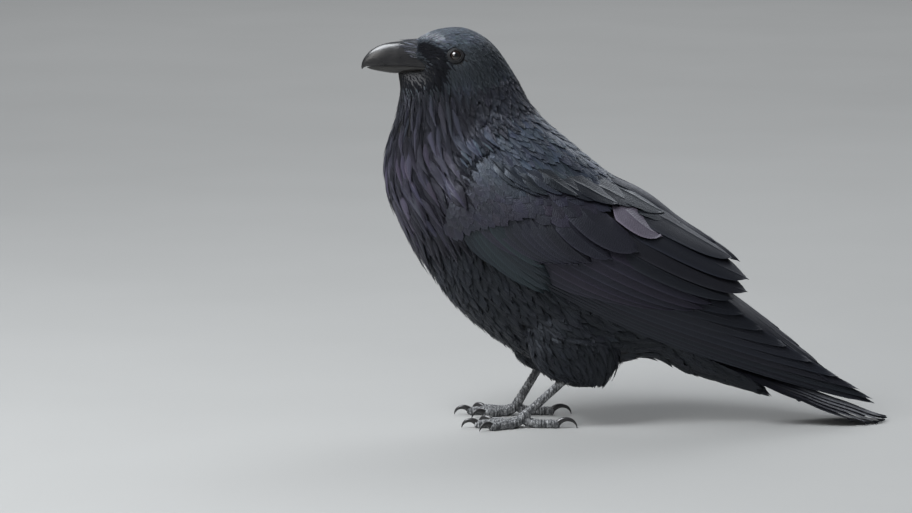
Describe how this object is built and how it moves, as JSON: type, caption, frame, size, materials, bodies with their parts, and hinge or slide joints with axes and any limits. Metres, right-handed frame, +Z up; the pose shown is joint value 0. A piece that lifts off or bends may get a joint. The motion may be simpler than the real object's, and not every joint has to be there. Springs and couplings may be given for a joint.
{
  "type": "raven",
  "caption": "Common raven standing with wings folded, a life-size still model of the bird with its shaggy throat, heavy bill and wedge tail resting on the ground.",
  "frame": {"origin": "on the ground under the middle of the bird's length, at the bottom centre of its bounding box", "axes": "+Z up, the bird faces -Y, +X is the bird's left side"},
  "size_m": [0.1388, 0.5008, 0.3775],
  "materials": {
    "plumage": "soft body feathers, black with a faint blue and violet gloss",
    "flight_feathers": "smooth, stiff vanes, black with a faint violet gloss",
    "bristles": "fine dark bristles laid along the bill",
    "bill_horn": "smooth dark grey horn, satin gloss",
    "claw_horn": "smooth black horn",
    "scaled_skin": "dark grey scaled skin",
    "eye": "wet dark brown eye"
  },
  "bodies": {
    "root": {"bill_lower": "bill_horn", "bill_upper": "bill_horn", "claw_left_1": "claw_horn", "claw_left_2": "claw_horn", "claw_left_3": "claw_horn", "claw_left_4": "claw_horn", "claw_right_1": "claw_horn", "claw_right_2": "claw_horn", "claw_right_3": "claw_horn", "claw_right_4": "claw_horn", "eye_left": "eye", "eye_right": "eye", "head": "plumage", "nasal_bristles": "bristles", "neck": "plumage", "tail": "flight_feathers", "tarsus_left": "scaled_skin", "tarsus_right": "scaled_skin", "thigh_left": "plumage", "thigh_right": "plumage", "toe_left_1": "scaled_skin", "toe_left_2": "scaled_skin", "toe_left_3": "scaled_skin", "toe_left_4": "scaled_skin", "toe_right_1": "scaled_skin", "toe_right_2": "scaled_skin", "toe_right_3": "scaled_skin", "toe_right_4": "scaled_skin", "trunk": "plumage", "wing_left_coverts": "plumage", "wing_left_primaries": "flight_feathers", "wing_left_scapulars": "plumage", "wing_left_secondaries": "flight_feathers", "wing_left_tertials": "flight_feathers", "wing_right_coverts": "plumage", "wing_right_primaries": "flight_feathers", "wing_right_scapulars": "plumage", "wing_right_secondaries": "flight_feathers", "wing_right_tertials": "flight_feathers"}
  },
  "joints": []
}
